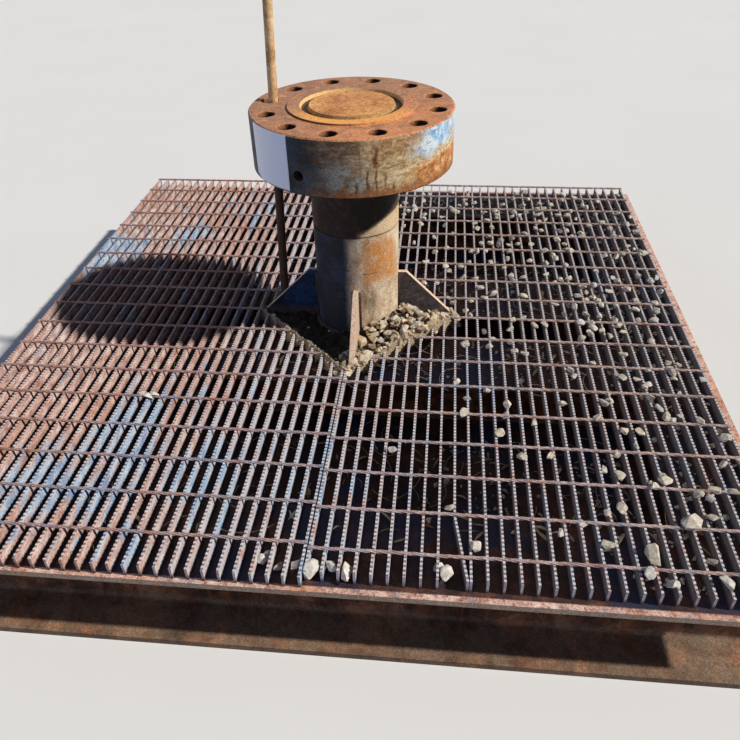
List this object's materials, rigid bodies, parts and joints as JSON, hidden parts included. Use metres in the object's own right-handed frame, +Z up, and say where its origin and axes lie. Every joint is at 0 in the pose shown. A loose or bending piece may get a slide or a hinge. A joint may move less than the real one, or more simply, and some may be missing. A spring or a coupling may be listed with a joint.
{
  "type": "blowout preventer test stump",
  "caption": "Thick blind test flange on a gusseted pipe post, standing on a square beam frame decked with steel bar grating.",
  "frame": {"origin": "on the ground, under the middle of the square beam frame", "axes": "+Z up, +Y away from the front edge of the platform, +X to the right; the bearing bars run along Y"},
  "size_m": [1.8288, 1.8288, 1.2502],
  "materials": {
    "frame_steel": "rusted rolled steel",
    "pan_sheet": "dark rusted sheet with old paint",
    "grating_steel": "rusted bars with pale blue paint left on them",
    "post_steel": "weathered, rust stained",
    "weld_bead": "rusted weld",
    "gusset_plate": "dark old paint, rusted edges",
    "flange_steel": "rusted face, old blue paint on the side",
    "bar_steel": "rusted round bar",
    "label_paper": "blank weathered label",
    "packed_soil": "soil and grit caked in the cut-out",
    "loose_stone": "loose stones and grit",
    "dry_leaf": "dry leaves and stalks"
  },
  "bodies": {
    "root": {"back_beam": "frame_steel", "back_gusset": "gusset_plate", "back_joist": "frame_steel", "back_pan": "pan_sheet", "base_plate": "post_steel", "base_weld": "weld_bead", "front_beam": "frame_steel", "front_gusset": "gusset_plate", "front_joist": "frame_steel", "front_pan": "pan_sheet", "girth_weld": "weld_bead", "leaning_bar": "bar_steel", "left_beam": "frame_steel", "left_bearing_bars": "grating_steel", "left_cross_rods": "grating_steel", "left_gusset": "gusset_plate", "left_pan": "pan_sheet", "left_stringer": "frame_steel", "neck": "post_steel", "pipe": "post_steel", "right_beam": "frame_steel", "right_bearing_bars": "grating_steel", "right_cross_rods": "grating_steel", "right_gusset": "gusset_plate", "right_pan": "pan_sheet", "right_stringer": "frame_steel", "test_flange": "flange_steel", "upper_weld": "weld_bead"}
  },
  "joints": []
}
